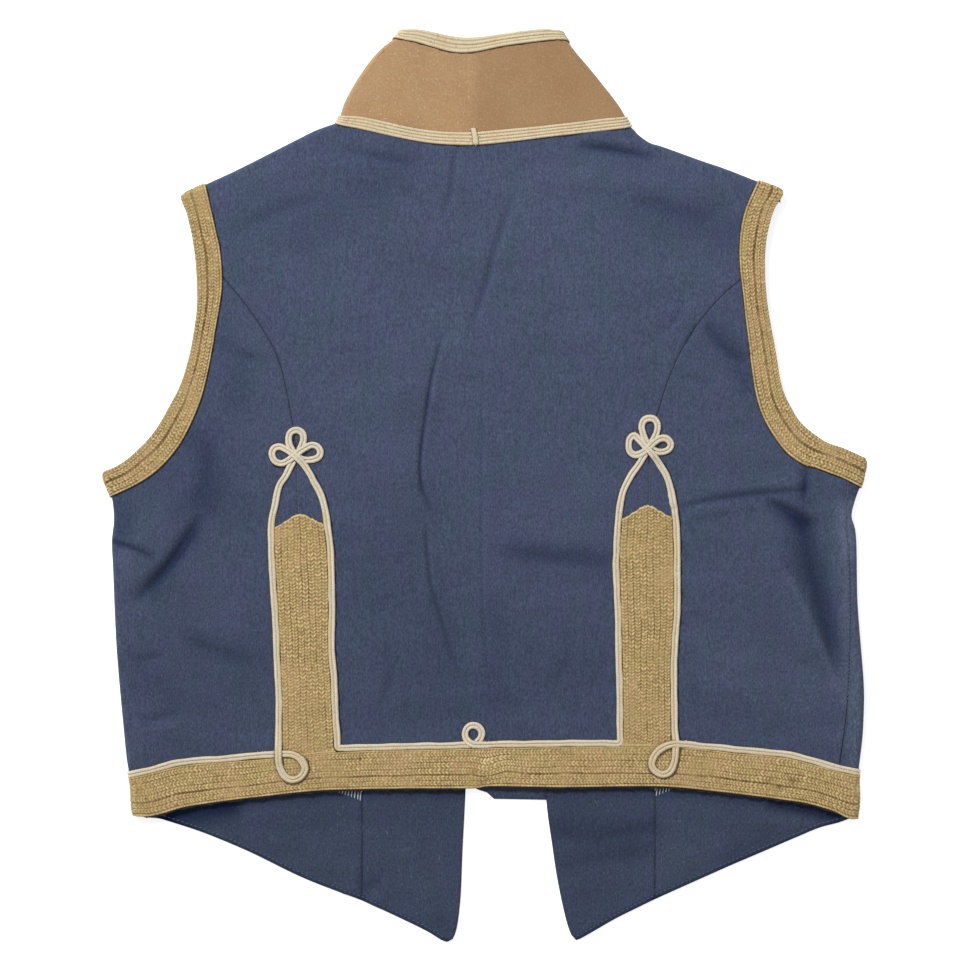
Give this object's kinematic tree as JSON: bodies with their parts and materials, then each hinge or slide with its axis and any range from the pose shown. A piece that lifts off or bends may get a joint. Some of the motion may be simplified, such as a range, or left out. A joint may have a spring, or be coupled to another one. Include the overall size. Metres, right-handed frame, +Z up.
{
  "type": "denim vest",
  "caption": "Sleeveless denim vest with a stand collar, laid flat with its back up, trimmed with gold braid panels and cream soutache loops and trefoil knots.",
  "frame": {"origin": "centre of the vest's box on the surface that it lies on", "axes": "+Y from the hem towards the collar, +X to the wearer's right with the back up, +Z up from the surface through the back"},
  "size_m": [0.4568, 0.5471, 0.0079],
  "materials": {
    "denim_outside": "matt washed blue denim twill",
    "denim_inside": "matt blue denim, slightly paler",
    "collar_cotton": "matt brushed camel cotton",
    "cream_soutache": "soft satin cream cord",
    "gold_braid": "soft sheen gold herringbone braid"
  },
  "bodies": {
    "root": {"back_center": "denim_outside", "back_side_left": "denim_outside", "back_side_right": "denim_outside", "front_left_center": "denim_inside", "front_left_side": "denim_inside", "front_right_center": "denim_inside", "front_right_side": "denim_outside", "front_underlap": "denim_inside", "collar": "collar_cotton", "collar_top_trim": "cream_soutache", "collar_base_trim": "cream_soutache", "armhole_braid_left": "gold_braid", "armhole_braid_right": "gold_braid", "hem_braid": "gold_braid", "panel_braid_left": "gold_braid", "panel_braid_right": "gold_braid", "soutache_cord": "cream_soutache"}
  },
  "joints": []
}
